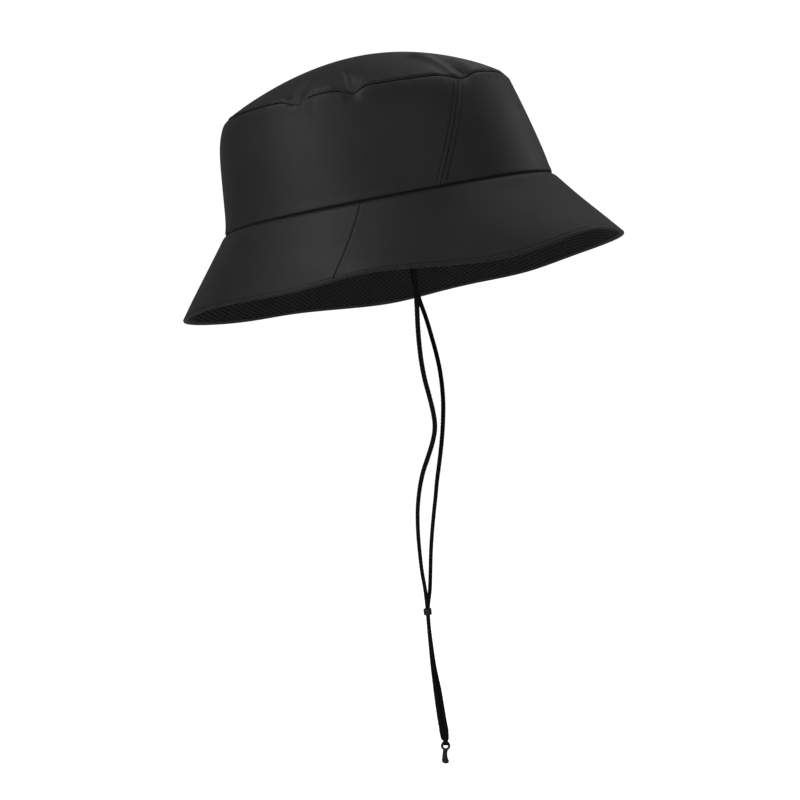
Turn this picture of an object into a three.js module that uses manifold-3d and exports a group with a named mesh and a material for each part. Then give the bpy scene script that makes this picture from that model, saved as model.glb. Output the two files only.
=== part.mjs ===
// A soft bucket hat with a chin cord, worn tipped forward. Millimetres, +Z up, +X towards the back of
// the hat, +Y towards the wearer's right. The origin is the centre of the head opening, where the
// crown meets the brim. The hat leans by TILT about Y, and the chin cord hangs straight down.
import * as THREE from 'three';
import { mergeVertices } from 'three/addons/utils/BufferGeometryUtils.js';
import Module from 'manifold-3d';

// Driving dimensions of the hat, before it is tipped: half lengths run front to back, half widths
// from side to side, and angles run from the back of the hat over the wearer's right side.
const TILT_DEG = 11.4;
const BASE = { halfLength: 102, halfWidth: 87 };
const CROWN_INSET = { length: 14.8, width: 14 };
const BACK_INSET = { length: 12.4, power: 1.25 };
const CROWN_LEAN = -2;
const BRIM_REACH = 36.6;
const APEX_HEIGHT = 89.4;
const DOME_FULLNESS = { middle: 0.955, lean: 0.045 };
const SIDE_SHARE = { even: 0.61, rounded: 0.39, power: 8 };
const BRIM_EDGE = { height: -51, lift: 1.8, bow: 0.11 };

// Heights of the seams where the crown meets the brim and where its side meets its top panel. The
// wave lifts a seam at the front and the back and lowers it over the ears, and the lean lifts its
// front.
const BASE_SEAM = { height: -3.7, wave: 2.2, lean: -0.8 };
const TOP_SEAM = { height: 61.5, wave: 1.6, lean: -2.6 };

// How far each layer lies under the outer face, and how thick it is.
const LAYERS = {
  shell: { depth: 0, thickness: 0.7 },
  interlining: { depth: 1.0, thickness: 0.6 },
  underside: { depth: 1.9, thickness: 0.6 },
  lining: { depth: 1.0, thickness: 0.4 },
  sweatband: { depth: 1.8, thickness: 1.1 },
  cordTab: { depth: 3.2, thickness: 1.6 },
};

// The grids of the cloth bodies: columns round the hat, and rows as shares of each panel's height.
const COLUMNS = 60;
const CROWN_ROWS = [0.006, 0.3, 0.6, 0.8, 0.92, 0.992];
const LINING_ROWS = [0.012, 0.3, 0.6, 0.8, 0.92, 0.975];
const SWEATBAND_ROWS = [0.012, 0.3, 0.44];
const BRIM_ROWS = [0, 0.3, 0.65, 0.993];
const INTERLINING_ROWS = [0.02, 0.3, 0.65, 0.985];
const UNDERSIDE_ROWS = [0.003, 0.3, 0.65, 0.98];
const DOME = { shell: { rim: 0.006, rings: 6 }, lining: { rim: 0.02, rings: 4 }, ringPower: 1.3 };

// Seams lean with height: each has its angle at the lower edge and at the upper edge of its panels.
const CROWN_SEAM_DEG = { low: 72.8, high: 51.4 };
const BRIM_SEAM_DEG = { low: 107, high: 99 };
const SEAM_GAP_DEG = 0.2;

// Soft waves along the brim's edge: where, how wide and how high.
const BRIM_WAVES = [
  { at: 53, spread: 10, rise: -2.0 },
  { at: 93, spread: 9, rise: -2.0 },
  { at: 123, spread: 10, rise: 1.8 },
  { at: 216, spread: 14, rise: 2.0 },
  { at: 261, spread: 9, rise: 2.9 },
  { at: 293, spread: 12, rise: -4.2 },
  { at: 325, spread: 11, rise: 3.6 },
];

// The chin cord: where its tabs sit, its thickness, and the pieces on it.
const CORD_TAB = { atDeg: 83, halfWidthDeg: 3.6, low: -0.156, high: 0.14 };
const CORD_RADIUS = 1.2;
const CORD_SIDES = 8;
const CORD_STEP = 7;
const TAIL_LEAN = 0.105;
const BEAD = { halfWidth: 2.5, halfDepth: 3.6, height: 3.8, wall: 0.6, centre: [24.5, 0, -254] };
const RING = { centre: [35.6, 0, -337], radius: 2.2, bar: 0.7 };
const EYE = { radius: 1.75, bar: 0.62, sinksInto: 0.4 };
const CORD_END = { height: 4.6, topWidth: 5.4, topDepth: 2.8, lowWidth: 3.6, lowDepth: 3.2 };
const PULL_TAIL = { length: 8.9, neck: 1.45, foot: 2.2, sinksInto: 0.3 };

// Each strand's route from its tab to the cord's end. The two meet above the bead, lie one behind
// the other through it, and come side by side at the end of the tail.
const LEFT_STRAND = [
  [16.0, -83.6, -14.2], [15.7, -83.1, -20], [15.3, -81.8, -28], [15.1, -79.3, -37],
  [15.4, -75.6, -47], [16.4, -71.9, -58], [17.2, -67.9, -69.5], [17.7, -63.8, -80],
  [18.6, -59.6, -90.5], [19.9, -54.8, -100.5], [22.0, -49.8, -111], [24.9, -44.8, -121.5],
  [27.4, -39.8, -131.8], [28.2, -36.2, -139.8], [27.0, -32.2, -148], [24.2, -27.8, -157.6],
  [21.2, -23.6, -167.2], [19.2, -19.2, -178], [18.2, -14.6, -190], [18.4, -10.4, -203],
  [19.4, -6.8, -215.5], [20.9, -3.9, -228.5], [22.9, -2.1, -240], [24.2, -1.35, -251],
  [25.1, -1.35, -262], [26.25, -1.35, -275], [27.5, -1.18, -288], [29.2, -0.83, -301],
  [31.0, -0.4, -314], [32.2, 0, -322], [33.4, 0, -327.9],
];
const RIGHT_STRAND = [
  [16.0, 83.6, -14.2], [15.5, 83.1, -20], [15.0, 81.6, -28], [15.4, 78.4, -36],
  [17.0, 75.4, -46], [20.4, 72.3, -57], [24.7, 68.1, -69.5], [28.0, 63.6, -81],
  [30.8, 59.0, -91.5], [33.1, 54.0, -102.3], [34.5, 49.1, -112.8], [35.2, 44.1, -123.1],
  [35.1, 39.1, -133.4], [34.5, 34.2, -143.6], [33.5, 29.6, -153.7], [32.2, 25.1, -163.7],
  [30.8, 21.0, -173.6], [29.8, 17.1, -183.5], [28.5, 13.0, -195], [27.3, 8.9, -207.5],
  [26.6, 5.9, -219], [26.3, 3.8, -230], [25.9, 2.1, -241], [24.8, 1.35, -251],
  [25.2, 1.35, -262], [26.8, 1.35, -275], [28.75, 1.18, -288], [31.4, 0.83, -301],
  [33.6, 0.4, -314], [34.95, 0, -322], [36.15, 0, -327.9],
];

const wasm = await Module();
wasm.setup();

const fabric = { roughness: 0.75, metalness: 0 };
const COLOURS = {
  shell: { color: 0x1b1b1c, ...fabric },
  mesh: { color: 0x161617, ...fabric },
  interlining: { color: 0x2a2a2b, ...fabric },
  sweatband: { color: 0x141415, ...fabric },
  cord: { color: 0x0f0f10, ...fabric },
  plastic: { color: 0x0d0d0e, roughness: 0.45, metalness: 0 },
};

const radians = THREE.MathUtils.degToRad;
const lerp = THREE.MathUtils.lerp;

function addMesh(parent, name, geometry, look) {
  const mesh = new THREE.Mesh(geometry, new THREE.MeshStandardMaterial(look));
  mesh.name = name;
  parent.add(mesh);
  return mesh;
}

function seamHeight(seam, angle) {
  return seam.height + seam.wave * Math.cos(2 * angle) + seam.lean * Math.cos(angle);
}

// The height of the seam where the crown meets the brim: lowest over the ears.
function baseHeight(angle) {
  return seamHeight(BASE_SEAM, angle);
}

// The height of the seam round the crown's top panel: highest at the forehead.
function tipHeight(angle) {
  return seamHeight(TOP_SEAM, angle);
}

function brimWave(angle) {
  let rise = 0;
  for (const wave of BRIM_WAVES) {
    const turn = THREE.MathUtils.euclideanModulo(angle - radians(wave.at) + Math.PI, 2 * Math.PI) - Math.PI;
    rise += wave.rise * Math.exp(-0.5 * (turn / radians(wave.spread)) ** 2);
  }
  return rise;
}

function oval(angle, halfLength, halfWidth, shift, height) {
  return new THREE.Vector3(halfLength * Math.cos(angle) + shift, halfWidth * Math.sin(angle), height);
}

// How far the crown has drawn in along its length: rounded at the front, straight at the back.
function lengthInset(angle, frontShare, backShare) {
  const back = Math.max(0, Math.cos(angle)) ** 2;
  return lerp(CROWN_INSET.length * frontShare, BACK_INSET.length * backShare, back);
}

// The crown's side: height runs from 0 at the brim seam to 1 at the top panel's seam. It leans in
// evenly, then rounds over below the top seam.
function crownSide(angle, height) {
  const rising = Math.max(height, 0);
  const inset = SIDE_SHARE.even * height + SIDE_SHARE.rounded * rising ** SIDE_SHARE.power;
  return oval(
    angle,
    BASE.halfLength - lengthInset(angle, inset, rising ** BACK_INSET.power),
    BASE.halfWidth - CROWN_INSET.width * inset,
    CROWN_LEAN * height,
    lerp(baseHeight(angle), tipHeight(angle), height),
  );
}

// The crown's top panel: height runs from 0 at its seam to 1 at the middle of the dome.
function crownTip(angle, height) {
  const share = 1 - height;
  const fullness = DOME_FULLNESS.middle - DOME_FULLNESS.lean * Math.cos(angle);
  const dome = Math.pow(Math.max(0, 1 - share * share), fullness);
  return oval(
    angle,
    (BASE.halfLength - lengthInset(angle, 1, 1)) * share,
    (BASE.halfWidth - CROWN_INSET.width) * share,
    CROWN_LEAN,
    lerp(tipHeight(angle), APEX_HEIGHT, dome),
  );
}

// The brim: height runs from 0 at its edge to 1 at the crown seam. It bows a little at the back.
function brim(angle, height) {
  const out = 1 - height;
  const edge = BRIM_EDGE.height + BRIM_EDGE.lift * Math.cos(2 * angle);
  const bow = BRIM_EDGE.bow * (1 + Math.cos(angle)) * out * height ** 2;
  return oval(
    angle,
    BASE.halfLength + BRIM_REACH * out,
    BASE.halfWidth + BRIM_REACH * out,
    0,
    lerp(baseHeight(angle), edge, out + bow) + brimWave(angle) * out * out,
  );
}

// A point a given depth under a surface, measured along the surface's own normal.
function under(surface, angle, height, depth) {
  const step = 0.002;
  const low = Math.max(height - step, surface === crownSide ? -1 : 0);
  const high = Math.min(height + step, 0.999);
  const level = Math.min(height, 0.98);
  const around = surface(angle + step, level).sub(surface(angle - step, level));
  const upward = surface(angle, high).sub(surface(angle, low));
  const normal = around.cross(upward).normalize();
  return surface(angle, height).addScaledVector(normal, -depth);
}

// A closed body from its faces, turned to face outwards.
function closedBody(points, faces) {
  let volume = 0;
  for (const [a, b, c] of faces) {
    volume += points[a].dot(points[b].clone().cross(points[c]));
  }
  const order = volume > 0 ? faces : faces.map(([a, b, c]) => [a, c, b]);
  const geometry = new THREE.BufferGeometry().setFromPoints(points);
  geometry.setIndex(order.flat());
  geometry.computeVertexNormals();
  return geometry;
}

// Two triangles for a quad, split along its shorter diagonal so that a leaning panel stays round.
function splitQuad(points, a, b, c, d) {
  if (points[a].distanceTo(points[c]) <= points[b].distanceTo(points[d])) {
    return [[a, b, c], [a, c, d]];
  }
  return [[a, b, d], [b, c, d]];
}

// A cloth body of one layer. angleAt(column, height) gives the angles of its columns, so that a
// panel's side seams can lean. A ring closes on itself, and a panel has two side edges.
function clothBody(surface, layer, angleAt, columns, heights, isRing) {
  const points = [];
  const faces = [];
  const rows = heights.length;
  const sections = isRing ? columns : columns + 1;
  for (let column = 0; column < sections; column += 1) {
    for (const height of heights) {
      points.push(under(surface, angleAt(column / columns, height), height, layer.depth));
    }
    for (const height of [...heights].reverse()) {
      points.push(under(surface, angleAt(column / columns, height), height, layer.depth + layer.thickness));
    }
  }
  const loop = 2 * rows;
  for (let column = 0; column < columns; column += 1) {
    const here = column * loop;
    const next = ((column + 1) % sections) * loop;
    for (let i = 0; i < loop; i += 1) {
      const j = (i + 1) % loop;
      faces.push(...splitQuad(points, here + i, next + i, next + j, here + j));
    }
  }
  if (!isRing) {
    const last = columns * loop;
    for (let i = 0; i < rows - 1; i += 1) {
      const j = loop - 1 - i;
      faces.push([i, i + 1, j - 1], [i, j - 1, j]);
      faces.push([last + i, last + j - 1, last + i + 1], [last + i, last + j, last + j - 1]);
    }
  }
  return closedBody(points, faces);
}

// A domed cloth body of one layer, from the given rim height to the middle of the crown's top.
function domeBody(layer, { rim, rings }) {
  const points = [];
  const faces = [];
  for (const depth of [layer.depth, layer.depth + layer.thickness]) {
    for (let ring = 0; ring < rings; ring += 1) {
      const height = lerp(rim, 1, Math.pow(ring / rings, DOME.ringPower));
      for (let column = 0; column < COLUMNS; column += 1) {
        points.push(under(crownTip, (2 * Math.PI * column) / COLUMNS, height, depth));
      }
    }
    points.push(new THREE.Vector3(CROWN_LEAN, 0, APEX_HEIGHT - depth));
  }
  const side = rings * COLUMNS + 1;
  for (let column = 0; column < COLUMNS; column += 1) {
    const next = (column + 1) % COLUMNS;
    for (let ring = 0; ring < rings - 1; ring += 1) {
      const low = ring * COLUMNS;
      const high = low + COLUMNS;
      faces.push([low + column, low + next, high + next], [low + column, high + next, high + column]);
      faces.push(
        [side + low + column, side + high + next, side + low + next],
        [side + low + column, side + high + column, side + high + next],
      );
    }
    const last = (rings - 1) * COLUMNS;
    faces.push([last + column, last + next, side - 1]);
    faces.push([side + last + column, 2 * side - 1, side + last + next]);
    faces.push([column, side + column, side + next], [column, side + next, next]);
  }
  return closedBody(points, faces);
}

function evenly(from, to, count) {
  return Array.from({ length: count + 1 }, (_, i) => lerp(from, to, i / count));
}

const roundAngle = (share) => 2 * Math.PI * share;

// Angles across a panel that lies between the two mirrored seams, at the front or at the back.
function panelAngle(seam, isFront) {
  return (share, height) => {
    const edge = lerp(seam.low, seam.high, height);
    const from = isFront ? edge + SEAM_GAP_DEG / 2 : -(edge - SEAM_GAP_DEG / 2);
    const to = isFront ? 360 - from : -from;
    return radians(lerp(from, to, share));
  };
}

function panelColumns(seam, isFront) {
  const middle = (seam.low + seam.high) / 2;
  const span = isFront ? 360 - 2 * middle : 2 * middle;
  return Math.round((COLUMNS * span) / 360);
}

function addPanel(hat, name, surface, seam, isFront, heights) {
  const columns = panelColumns(seam, isFront);
  const geometry = clothBody(surface, LAYERS.shell, panelAngle(seam, isFront), columns, heights, false);
  addMesh(hat, name, geometry, COLOURS.shell);
}

function addRing(hat, name, surface, layer, heights, look) {
  addMesh(hat, name, clothBody(surface, layer, roundAngle, COLUMNS, heights, true), look);
}

function addCrown(hat) {
  addPanel(hat, 'crown_side_front', crownSide, CROWN_SEAM_DEG, true, CROWN_ROWS);
  addPanel(hat, 'crown_side_back', crownSide, CROWN_SEAM_DEG, false, CROWN_ROWS);
  addMesh(hat, 'crown_tip', domeBody(LAYERS.shell, DOME.shell), COLOURS.shell);
}

function addLining(hat) {
  addRing(hat, 'lining_side', crownSide, LAYERS.lining, LINING_ROWS, COLOURS.mesh);
  addMesh(hat, 'lining_tip', domeBody(LAYERS.lining, DOME.lining), COLOURS.mesh);
  addRing(hat, 'sweatband', crownSide, LAYERS.sweatband, SWEATBAND_ROWS, COLOURS.sweatband);
}

function addBrim(hat) {
  addPanel(hat, 'brim_top_front', brim, BRIM_SEAM_DEG, true, BRIM_ROWS);
  addPanel(hat, 'brim_top_back', brim, BRIM_SEAM_DEG, false, BRIM_ROWS);
  addRing(hat, 'brim_interlining', brim, LAYERS.interlining, INTERLINING_ROWS, COLOURS.interlining);
  addRing(hat, 'brim_underside', brim, LAYERS.underside, UNDERSIDE_ROWS, COLOURS.mesh);
}

// The folded tape that holds one end of the cord, sewn inside the sweatband's lower edge.
function addCordTab(hat, name, side) {
  const angleAt = (share) => radians(side * (CORD_TAB.atDeg + CORD_TAB.halfWidthDeg * (2 * share - 1)));
  const heights = evenly(CORD_TAB.low, CORD_TAB.high, 2);
  addMesh(hat, name, clothBody(crownSide, LAYERS.cordTab, angleAt, 3, heights, false), COLOURS.cord);
}

function addStrand(group, name, route) {
  const curve = new THREE.CatmullRomCurve3(route.map((point) => new THREE.Vector3(...point)));
  const section = new THREE.Shape();
  for (let i = 0; i < CORD_SIDES; i += 1) {
    const turn = (2 * Math.PI * (i + 0.5)) / CORD_SIDES;
    const corner = [CORD_RADIUS * Math.cos(turn), CORD_RADIUS * Math.sin(turn)];
    if (i === 0) {
      section.moveTo(...corner);
    } else {
      section.lineTo(...corner);
    }
  }
  const steps = Math.round(curve.getLength() / CORD_STEP);
  addMesh(group, name, new THREE.ExtrudeGeometry(section, { steps, extrudePath: curve }), COLOURS.cord);
}

// A shape with straight flanks and half-round ends, long way along its second axis.
function slotOutline(shape, halfWidth, halfDepth) {
  const flank = halfDepth - halfWidth;
  shape.moveTo(halfWidth, -flank);
  shape.lineTo(halfWidth, flank);
  shape.absarc(0, flank, halfWidth, 0, Math.PI, false);
  shape.lineTo(-halfWidth, -flank);
  shape.absarc(0, -flank, halfWidth, Math.PI, 2 * Math.PI, false);
  return shape;
}

// The stopper that both strands run through. It slides along them, in the direction of the tail.
function addBead(group) {
  const outline = slotOutline(new THREE.Shape(), BEAD.halfWidth, BEAD.halfDepth);
  const bore = slotOutline(new THREE.Path(), BEAD.halfWidth - BEAD.wall, BEAD.halfDepth - BEAD.wall);
  outline.holes.push(bore);
  const options = { depth: BEAD.height, bevelEnabled: false, curveSegments: 8 };
  const geometry = new THREE.ExtrudeGeometry(outline, options);
  geometry.translate(0, 0, -BEAD.height / 2);
  const bead = addMesh(group, 'cord_bead', geometry, COLOURS.plastic);
  bead.position.set(...BEAD.centre);
  bead.rotation.y = -Math.atan(TAIL_LEAN);
}

function toSolid(geometry) {
  const plain = geometry.clone();
  plain.deleteAttribute('normal');
  plain.deleteAttribute('uv');
  const merged = mergeVertices(plain);
  const vertProperties = new Float32Array(merged.attributes.position.array);
  const triVerts = new Uint32Array(merged.index.array);
  return new wasm.Manifold(new wasm.Mesh({ numProp: 3, vertProperties, triVerts }));
}

function joined(...geometries) {
  const whole = geometries.map(toSolid).reduce((sum, next) => sum.add(next));
  const mesh = whole.getMesh();
  const geometry = new THREE.BufferGeometry();
  geometry.setAttribute('position', new THREE.BufferAttribute(mesh.vertProperties, 3));
  geometry.setIndex(new THREE.BufferAttribute(mesh.triVerts, 1));
  geometry.computeVertexNormals();
  return geometry;
}

// The end that holds both strands: a tapered block with an eye round the pull's ring.
function addCordEnd(group) {
  const eye = new THREE.TorusGeometry(EYE.radius, EYE.bar, 8, 16).rotateY(Math.PI / 2);
  const block = new THREE.CylinderGeometry(1, 1, CORD_END.height, 10, 1).rotateX(Math.PI / 2);
  const position = block.attributes.position;
  for (let i = 0; i < position.count; i += 1) {
    const isTop = position.getZ(i) > 0;
    const width = isTop ? CORD_END.topWidth : CORD_END.lowWidth;
    const depth = isTop ? CORD_END.topDepth : CORD_END.lowDepth;
    position.setXYZ(i, (position.getX(i) * width) / 2, (position.getY(i) * depth) / 2, position.getZ(i));
  }
  block.translate(0, 0, EYE.radius + EYE.bar / 2 + CORD_END.height / 2 - EYE.sinksInto);
  const end = addMesh(group, 'cord_end', joined(eye, block), COLOURS.cord);
  end.position.set(RING.centre[0], RING.centre[1], RING.centre[2] + RING.radius);
}

// The little pull: a ring and a short tail that widens to its foot.
function addPull(group) {
  const ring = new THREE.TorusGeometry(RING.radius, RING.bar, 8, 20).rotateX(Math.PI / 2);
  const start = -RING.radius;
  const end = start - PULL_TAIL.length;
  const outline = [
    [0, start + PULL_TAIL.sinksInto],
    [PULL_TAIL.neck, start],
    [PULL_TAIL.neck * 0.9, lerp(start, end, 0.3)],
    [PULL_TAIL.foot, lerp(start, end, 0.82)],
    [PULL_TAIL.foot * 0.7, lerp(start, end, 0.96)],
    [0, end],
  ];
  const points = outline.map(([radius, height]) => new THREE.Vector2(radius, height)).reverse();
  const tail = new THREE.LatheGeometry(points, 12).rotateX(Math.PI / 2);
  const pull = addMesh(group, 'cord_pull', joined(ring, tail), COLOURS.plastic);
  pull.position.set(...RING.centre);
}

function makeHat() {
  const hat = new THREE.Group();
  hat.rotation.y = -radians(TILT_DEG);
  addCrown(hat);
  addLining(hat);
  addBrim(hat);
  addCordTab(hat, 'cord_tab_left', -1);
  addCordTab(hat, 'cord_tab_right', 1);
  return hat;
}

function makeChinCord() {
  const cord = new THREE.Group();
  addStrand(cord, 'chin_cord_left', LEFT_STRAND);
  addStrand(cord, 'chin_cord_right', RIGHT_STRAND);
  addBead(cord);
  addCordEnd(cord);
  addPull(cord);
  return cord;
}

const object = new THREE.Group();
object.add(makeHat(), makeChinCord());

export default object;
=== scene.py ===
"""A soft bucket hat with a chin cord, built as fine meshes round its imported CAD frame.

Metres. +X is the back of the hat, +Y the wearer's right and +Z up. The origin is the centre of the
head opening, and the hat leans forward by TILT about Y, while its chin cord hangs straight down.
Angles run round the hat from the back over the wearer's right side.
"""

import math

import bpy
import numpy as np
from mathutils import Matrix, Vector


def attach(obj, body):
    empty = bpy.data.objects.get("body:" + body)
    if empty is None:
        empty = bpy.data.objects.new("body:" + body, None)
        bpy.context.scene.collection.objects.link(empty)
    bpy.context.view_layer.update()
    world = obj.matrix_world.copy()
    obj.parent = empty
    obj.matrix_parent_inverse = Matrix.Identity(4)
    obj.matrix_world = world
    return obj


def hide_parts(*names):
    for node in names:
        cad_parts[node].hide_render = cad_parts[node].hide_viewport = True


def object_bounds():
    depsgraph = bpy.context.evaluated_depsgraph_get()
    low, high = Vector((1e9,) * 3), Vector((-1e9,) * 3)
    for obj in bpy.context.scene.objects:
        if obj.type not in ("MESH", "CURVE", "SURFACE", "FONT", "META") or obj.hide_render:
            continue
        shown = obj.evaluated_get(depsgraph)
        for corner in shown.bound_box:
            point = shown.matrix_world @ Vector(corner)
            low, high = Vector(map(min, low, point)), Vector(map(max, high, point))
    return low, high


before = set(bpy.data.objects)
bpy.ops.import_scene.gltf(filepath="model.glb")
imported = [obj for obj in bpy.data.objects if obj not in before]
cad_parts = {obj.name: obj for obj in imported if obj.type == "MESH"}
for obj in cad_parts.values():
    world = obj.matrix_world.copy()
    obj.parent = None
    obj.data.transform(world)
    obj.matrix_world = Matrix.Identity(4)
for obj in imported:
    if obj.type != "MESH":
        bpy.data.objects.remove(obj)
cad_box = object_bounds()

MM = 0.001

# ---- driving dimensions

TILT = math.radians(11.4)
BASE_LENGTH, BASE_WIDTH = 0.102, 0.087
INSET_LENGTH, INSET_WIDTH = 0.0148, 0.014
CROWN_LEAN = -0.002
BRIM_REACH = 0.0366
APEX_HEIGHT = 0.0894
DOME_FULLNESS = (0.955, 0.045)
BACK_INSET, BACK_POWER = 0.0124, 1.25
SIDE_SHARE = (0.61, 0.39, 8)
SIDE_LENGTH = 0.0655
BRIM_SLANT = 0.0605
DOME_SPAN = 0.083

# Heights of the seams and the brim's edge in millimetres: middle, wave, lift to the back.
BASE_SEAM = (-3.7, 2.2, -0.8)
TOP_SEAM = (61.5, 1.6, -2.6)
BRIM_EDGE = (-51, 1.8, 0)
BRIM_BOW = 0.11

# Seam angles at the lower and the upper edge of the panels, mirrored on the other side.
CROWN_SEAM = (72.8, 51.4)
BRIM_SEAM = (107, 99)

SHELL = 0.7 * MM
HEM_CLOTH = 0.5 * MM
HEM_RADIUS = 1.0 * MM
HEM_RETURN = 1.6 * MM

# Soft waves along the brim's edge: angle, spread in degrees, rise in millimetres.
BRIM_WAVES = (
    (53, 10, -2.0), (93, 9, -2.0), (123, 10, 1.8), (216, 14, 2.0),
    (261, 9, 2.9), (293, 12, -4.2), (325, 11, 3.6),
)

# Dips of the seam round the crown's top: angle, spread in degrees, drop in millimetres.
TIP_DIPS = (
    (242.7, 3.2, 3.7), (265, 2.6, 4.0), (309.5, 4.6, 4.2), (50, 4.6, 3.6),
    (112, 3.0, 2.6), (158, 3.6, 2.2), (350, 6.0, 0.9),
)

# Folds on the crown's top, in plan: start, end, half width and height in millimetres.
TIP_FOLDS = (
    ((0.053, -0.058), (0.033, -0.038), 3.0, 1.5),
    ((0.061, -0.053), (0.048, -0.040), 3.4, -1.2),
    ((-0.012, -0.070), (-0.0135, -0.0573), 1.4, 0.60),
    ((-0.008, -0.070), (-0.010, -0.058), 1.4, -0.50),
    ((-0.035, -0.062), (-0.020, -0.0665), 3.0, 0.7),
    ((-0.0455, -0.060), (-0.040, -0.054), 2.2, -0.35),
    ((0.053, 0.058), (0.040, 0.042), 2.6, 1.5),
    ((-0.033, 0.066), (-0.028, 0.054), 1.8, 0.9),
    ((-0.080, 0.025), (-0.069, 0.020), 2.2, 0.8),
)

# Folds down the crown's side from its top seam: angle, then half width, length and height in
# millimetres.
SIDE_FOLDS = (
    (250.3, 1.7, 10, -0.60),
    (246.3, 2.0, 8, 0.45),
    (238.5, 2.4, 10, 0.35),
    (261.0, 2.4, 9, 0.40),
    (266.5, 2.4, 7, -0.45),
    (304.0, 2.0, 9, 0.30),
    (110.0, 2.2, 12, -0.45),
    (115.0, 2.8, 14, 0.45),
    (160.0, 2.6, 12, 0.40),
)

# ---- camera

CAMERA_AT = (0.0074, -1.031, -0.1231)
CAMERA_LENS = 75


def add_camera():
    data = bpy.data.cameras.new("camera")
    data.lens = CAMERA_LENS
    data.sensor_width = 36
    camera = bpy.data.objects.new("camera", data)
    camera.location = CAMERA_AT
    camera.rotation_euler = (math.radians(90), 0, 0)
    bpy.context.collection.objects.link(camera)
    bpy.context.scene.camera = camera


# ---- small numeric helpers


def bell(distance, width):
    return np.exp(-((distance / width) ** 2))


def mix(low, high, share):
    return low + (high - low) * share


def smooth_step(low, high, value):
    share = np.clip((value - low) / (high - low), 0, 1)
    return share * share * (3 - 2 * share)


def turn_from(angle, at_degrees):
    """The signed angle from at_degrees, in radians from -pi to pi."""
    return (angle - math.radians(at_degrees) + math.pi) % (2 * math.pi) - math.pi


def waves(angle, rows):
    total = 0 * angle
    for at, spread, rise in rows:
        total = total + rise * np.exp(-0.5 * (turn_from(angle, at) / math.radians(spread)) ** 2)
    return total * MM


def unit(vectors):
    return vectors / np.maximum(np.linalg.norm(vectors, axis=-1, keepdims=True), 1e-12)


def spacing(length, fine, coarse, start_band, end_band):
    """Stations from 0 to length: fine steps inside the bands at the ends, coarse ones between."""
    stations = [0.0]
    while stations[-1] < length:
        here = stations[-1]
        into = min(1.0, here / start_band)
        if end_band > 0:
            into = min(into, (length - here) / end_band)
        stations.append(here + mix(fine, coarse, max(0.0, into) ** 1.5))
    stations = np.array(stations)
    return stations * (length / stations[-1])


# ---- the hat's surfaces


def oval(angle, half_length, half_width, shift, height):
    rows = np.broadcast_arrays(half_length * np.cos(angle) + shift, half_width * np.sin(angle), height)
    return np.stack(rows, axis=-1)


def tipped(points):
    """From the upright hat to the hat as it leans."""
    x = points[..., 0] * math.cos(TILT) - points[..., 2] * math.sin(TILT)
    z = points[..., 0] * math.sin(TILT) + points[..., 2] * math.cos(TILT)
    return np.stack([x, points[..., 1], z], axis=-1)


def seam_height(seam, angle):
    return (seam[0] + seam[1] * np.cos(2 * angle) + seam[2] * np.cos(angle)) * MM


def length_inset(angle, share):
    """How far the crown has drawn in along its length: rounded at the front, straight at the back."""
    back = np.maximum(0, np.cos(angle)) ** 2
    return mix(INSET_LENGTH * share[0], BACK_INSET * share[1], back)


def crown_side(angle, height):
    """height is 0 at the brim seam and 1 at the top seam."""
    rising = np.maximum(height, 0)
    inset = SIDE_SHARE[0] * height + SIDE_SHARE[1] * rising ** SIDE_SHARE[2]
    level = mix(seam_height(BASE_SEAM, angle), seam_height(TOP_SEAM, angle), height)
    level = level - waves(angle, TIP_DIPS) * np.clip(height, 0, 1) ** 9
    return oval(
        angle, BASE_LENGTH - length_inset(angle, (inset, rising ** BACK_POWER)),
        BASE_WIDTH - INSET_WIDTH * inset, CROWN_LEAN * height, level,
    )


def crown_tip(angle, height):
    """height is 0 at the top seam and 1 at the middle of the dome."""
    share = 1 - height
    dome = np.maximum(0, 1 - share * share) ** (DOME_FULLNESS[0] - DOME_FULLNESS[1] * np.cos(angle))
    level = mix(seam_height(TOP_SEAM, angle), APEX_HEIGHT, dome)
    level = level - waves(angle, TIP_DIPS) * bell(height * DOME_SPAN, 11 * MM)
    return oval(
        angle, (BASE_LENGTH - length_inset(angle, (1, 1))) * share,
        (BASE_WIDTH - INSET_WIDTH) * share, CROWN_LEAN, level,
    )


def brim(angle, height):
    """height is 0 at the brim's edge and 1 at the crown seam."""
    out = 1 - height
    bow = BRIM_BOW * (1 + np.cos(angle)) * out * height ** 2
    level = mix(seam_height(BASE_SEAM, angle), seam_height(BRIM_EDGE, angle), out + bow)
    level = level + waves(angle, BRIM_WAVES) * out * out
    return oval(angle, BASE_LENGTH + BRIM_REACH * out, BASE_WIDTH + BRIM_REACH * out, 0, level)


def normals_of(surface, angle, height):
    step = 1e-3
    around = surface(angle + step, height) - surface(angle - step, height)
    upward = surface(angle, height + step) - surface(angle, height - step)
    return unit(np.cross(around, upward))


def under(surface, angle, height, depth):
    """Points a given depth under a surface, along its own normals, on the hat as it leans."""
    depth = np.asarray(depth)[..., None] if np.ndim(depth) else depth
    return tipped(surface(angle, height) - normals_of(surface, angle, height) * depth)


def side_radius(angle):
    return np.hypot(BASE_LENGTH * np.sin(angle), BASE_WIDTH * np.cos(angle))


def past_seam(angle, height, seam):
    """How far a point lies past the nearest of the two mirrored seams, towards the front."""
    half_turn = np.abs(turn_from(angle, 0))
    return (half_turn - np.radians(mix(seam[0], seam[1], height))) * side_radius(angle)


# ---- relief of the sewn cloth

CROWN_STITCH_AT = 3.3 * MM
EDGE_STITCH_AT = 2.0 * MM
STITCH_GROOVE = 0.38 * MM
TIP_THREAD_DEPTH = 0.75 * MM


def between(low, low_band, high, high_band):
    """A share that is 1 inside a panel and fades to 0 over a band at each of its two edges."""
    return smooth_step(0, low_band, low) * smooth_step(0, high_band, high)


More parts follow.
